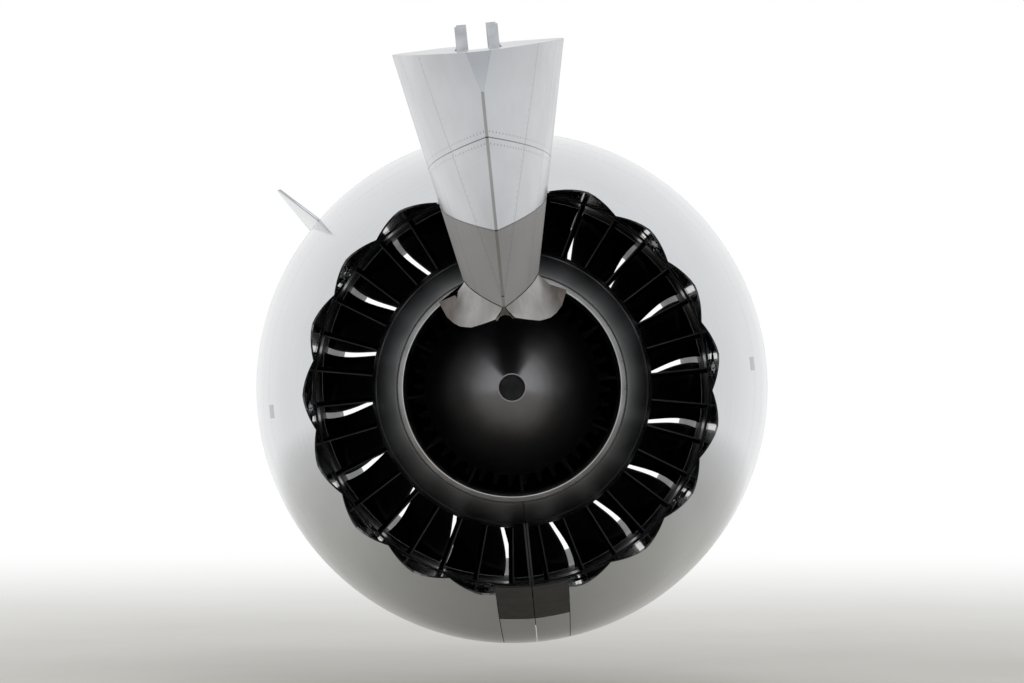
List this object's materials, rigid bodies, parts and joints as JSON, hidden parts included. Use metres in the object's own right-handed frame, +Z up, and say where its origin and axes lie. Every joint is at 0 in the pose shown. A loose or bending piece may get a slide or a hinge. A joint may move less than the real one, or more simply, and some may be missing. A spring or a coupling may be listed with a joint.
{
  "type": "jet engine",
  "caption": "Turbofan jet engine in its nacelle with chevron nozzle, opening cowls and reverser, on a pylon cut at the wing underside.",
  "frame": {"origin": "middle of the forward wing lug's pin bore, in the pylon's middle plane", "axes": "+Z up, +Y towards the inlet along the engine axis, +X to the right seen from behind, along the wing pin"},
  "size_m": [3.65, 8.62, 4.045],
  "materials": {
    "polished_lip": "polished",
    "nacelle_paint": "gloss",
    "duct_liner": "satin",
    "fan_composite": "gloss",
    "steel_parts": "satin",
    "titanium_parts": "satin",
    "bare_nozzle": "satin",
    "plug_metal": "satin",
    "dark_panel": "satin",
    "core_cowl_paint": "satin",
    "pylon_paint": "satin",
    "shield_metal": "polished"
  },
  "bodies": {
    "engine": {"inlet_lip": "polished_lip", "inlet_outer_barrel": "nacelle_paint", "inlet_inner_barrel": "duct_liner", "fan_case": "duct_liner", "outlet_guide_vanes": "steel_parts", "fan_frame": "steel_parts", "core_fairing": "duct_liner", "compressor_case": "steel_parts", "combustor_case": "titanium_parts", "fuel_manifold": "steel_parts", "turbine_case": "titanium_parts", "turbine_rear_frame": "titanium_parts", "core_nozzle": "bare_nozzle", "exhaust_plug": "plug_metal", "bearing_housings": "steel_parts", "accessory_gearbox": "titanium_parts", "starter": "steel_parts", "generator": "titanium_parts", "oil_tank": "titanium_parts", "front_mount": "steel_parts", "rear_mount": "steel_parts", "cowl_hinges": "steel_parts", "pylon_beam": "titanium_parts", "pylon_front_fairing": "pylon_paint", "pylon_aft_fairing": "pylon_paint", "heat_shield": "shield_metal", "wing_lugs": "steel_parts"},
    "low_pressure_spool": {"spinner": "fan_composite", "fan_disc": "titanium_parts", "fan_blades": "fan_composite", "booster": "titanium_parts", "low_pressure_shaft": "steel_parts", "low_pressure_turbine": "titanium_parts"},
    "high_pressure_spool": {"high_pressure_compressor": "titanium_parts", "high_pressure_turbine": "steel_parts"},
    "left_fan_door": {"fan_cowl_left": "nacelle_paint", "strake": "nacelle_paint"},
    "right_fan_door": {"fan_cowl_right": "nacelle_paint"},
    "front_latch": {"cowl_latch_front": "steel_parts"},
    "aft_latch": {"cowl_latch_aft": "steel_parts"},
    "oil_access": {"oil_door": "nacelle_paint"},
    "reverser_right_half": {"reverser_right": "nacelle_paint", "cascades_right": "titanium_parts", "core_cowl_right": "core_cowl_paint", "keel_fairing_right": "dark_panel"},
    "translating_sleeve_right": {"sleeve_right": "nacelle_paint"},
    "blocker_right_1_door": {"blocker_right_1": "duct_liner"},
    "blocker_right_2_door": {"blocker_right_2": "duct_liner"},
    "blocker_right_3_door": {"blocker_right_3": "duct_liner"},
    "blocker_right_4_door": {"blocker_right_4": "duct_liner"},
    "reverser_left_half": {"reverser_left": "nacelle_paint", "cascades_left": "titanium_parts", "core_cowl_left": "core_cowl_paint", "keel_fairing_left": "dark_panel"},
    "translating_sleeve_left": {"sleeve_left": "nacelle_paint"},
    "blocker_left_1_door": {"blocker_left_1": "duct_liner"},
    "blocker_left_2_door": {"blocker_left_2": "duct_liner"},
    "blocker_left_3_door": {"blocker_left_3": "duct_liner"},
    "blocker_left_4_door": {"blocker_left_4": "duct_liner"}
  },
  "joints": [
    {"name": "low_pressure_spin", "type": "hinge", "parent": "engine", "child": "low_pressure_spool", "pos_m": [0, 4.1, -2.15], "axis": [0, 1, 0], "continuous": true},
    {"name": "high_pressure_spin", "type": "hinge", "parent": "engine", "child": "high_pressure_spool", "pos_m": [0, 2.6, -2.15], "axis": [0, 1, 0], "continuous": true},
    {"name": "right_fan_door_swing", "type": "hinge", "parent": "engine", "child": "right_fan_door", "pos_m": [0.245, 3.7, -0.36125], "axis": [0, -1, 0], "range_deg": [0, 45]},
    {"name": "left_fan_door_swing", "type": "hinge", "parent": "engine", "child": "left_fan_door", "pos_m": [-0.245, 3.7, -0.36125], "axis": [0, 1, 0], "range_deg": [0, 45]},
    {"name": "front_latch_turn", "type": "hinge", "parent": "left_fan_door", "child": "front_latch", "pos_m": [-0.066, 4, -3.95317], "axis": [0, 1, 0], "range_deg": [0, 90]},
    {"name": "aft_latch_turn", "type": "hinge", "parent": "left_fan_door", "child": "aft_latch", "pos_m": [-0.066, 3.2, -3.95317], "axis": [0, 1, 0], "range_deg": [0, 90]},
    {"name": "oil_access_swing", "type": "hinge", "parent": "left_fan_door", "child": "oil_access", "pos_m": [-1.70629, 3.91, -2.77905], "axis": [0, 1, 0], "range_deg": [0, 90]},
    {"name": "right_reverser_swing", "type": "hinge", "parent": "engine", "child": "reverser_right_half", "pos_m": [0.236, 2.86, -0.388], "axis": [0, -1, 0], "range_deg": [0, 45]},
    {"name": "right_sleeve_slide", "type": "slide", "parent": "reverser_right_half", "child": "translating_sleeve_right", "axis": [0, -1, 0], "range_m": [0, 0.62]},
    {"name": "blocker_right_1_turn", "type": "hinge", "parent": "translating_sleeve_right", "child": "blocker_right_1_door", "pos_m": [0.67369, 2.793, -3.28237], "axis": [-0.8594, 0, -0.5113], "range_deg": [0, 61]},
    {"name": "blocker_right_2_turn", "type": "hinge", "parent": "translating_sleeve_right", "child": "blocker_right_2_door", "pos_m": [1.24011, 2.793, -2.59524], "axis": [-0.3379, 0, -0.9412], "range_deg": [0, 61]},
    {"name": "blocker_right_3_turn", "type": "hinge", "parent": "translating_sleeve_right", "child": "blocker_right_3_door", "pos_m": [1.24011, 2.793, -1.70476], "axis": [0.3379, 0, -0.9412], "range_deg": [0, 61]},
    {"name": "blocker_right_4_turn", "type": "hinge", "parent": "translating_sleeve_right", "child": "blocker_right_4_door", "pos_m": [0.67369, 2.793, -1.01763], "axis": [0.8594, 0, -0.5113], "range_deg": [0, 61]},
    {"name": "left_reverser_swing", "type": "hinge", "parent": "engine", "child": "reverser_left_half", "pos_m": [-0.236, 2.86, -0.388], "axis": [0, 1, 0], "range_deg": [0, 45]},
    {"name": "left_sleeve_slide", "type": "slide", "parent": "reverser_left_half", "child": "translating_sleeve_left", "axis": [0, -1, 0], "range_m": [0, 0.62]},
    {"name": "blocker_left_1_turn", "type": "hinge", "parent": "translating_sleeve_left", "child": "blocker_left_1_door", "pos_m": [-0.67369, 2.793, -3.28237], "axis": [-0.8594, 0, 0.5113], "range_deg": [0, 61]},
    {"name": "blocker_left_2_turn", "type": "hinge", "parent": "translating_sleeve_left", "child": "blocker_left_2_door", "pos_m": [-1.24011, 2.793, -2.59524], "axis": [-0.3379, 0, 0.9412], "range_deg": [0, 61]},
    {"name": "blocker_left_3_turn", "type": "hinge", "parent": "translating_sleeve_left", "child": "blocker_left_3_door", "pos_m": [-1.24011, 2.793, -1.70476], "axis": [0.3379, 0, 0.9412], "range_deg": [0, 61]},
    {"name": "blocker_left_4_turn", "type": "hinge", "parent": "translating_sleeve_left", "child": "blocker_left_4_door", "pos_m": [-0.67369, 2.793, -1.01763], "axis": [0.8594, 0, 0.5113], "range_deg": [0, 61]}
  ],
  "couplings": [
    {"joint": "blocker_right_1_turn", "follows": "right_sleeve_slide", "rad_per_m": 1.689},
    {"joint": "blocker_right_2_turn", "follows": "right_sleeve_slide", "rad_per_m": 1.689},
    {"joint": "blocker_right_3_turn", "follows": "right_sleeve_slide", "rad_per_m": 1.689},
    {"joint": "blocker_right_4_turn", "follows": "right_sleeve_slide", "rad_per_m": 1.689},
    {"joint": "blocker_left_1_turn", "follows": "left_sleeve_slide", "rad_per_m": 1.689},
    {"joint": "blocker_left_2_turn", "follows": "left_sleeve_slide", "rad_per_m": 1.689},
    {"joint": "blocker_left_3_turn", "follows": "left_sleeve_slide", "rad_per_m": 1.689},
    {"joint": "blocker_left_4_turn", "follows": "left_sleeve_slide", "rad_per_m": 1.689}
  ]
}
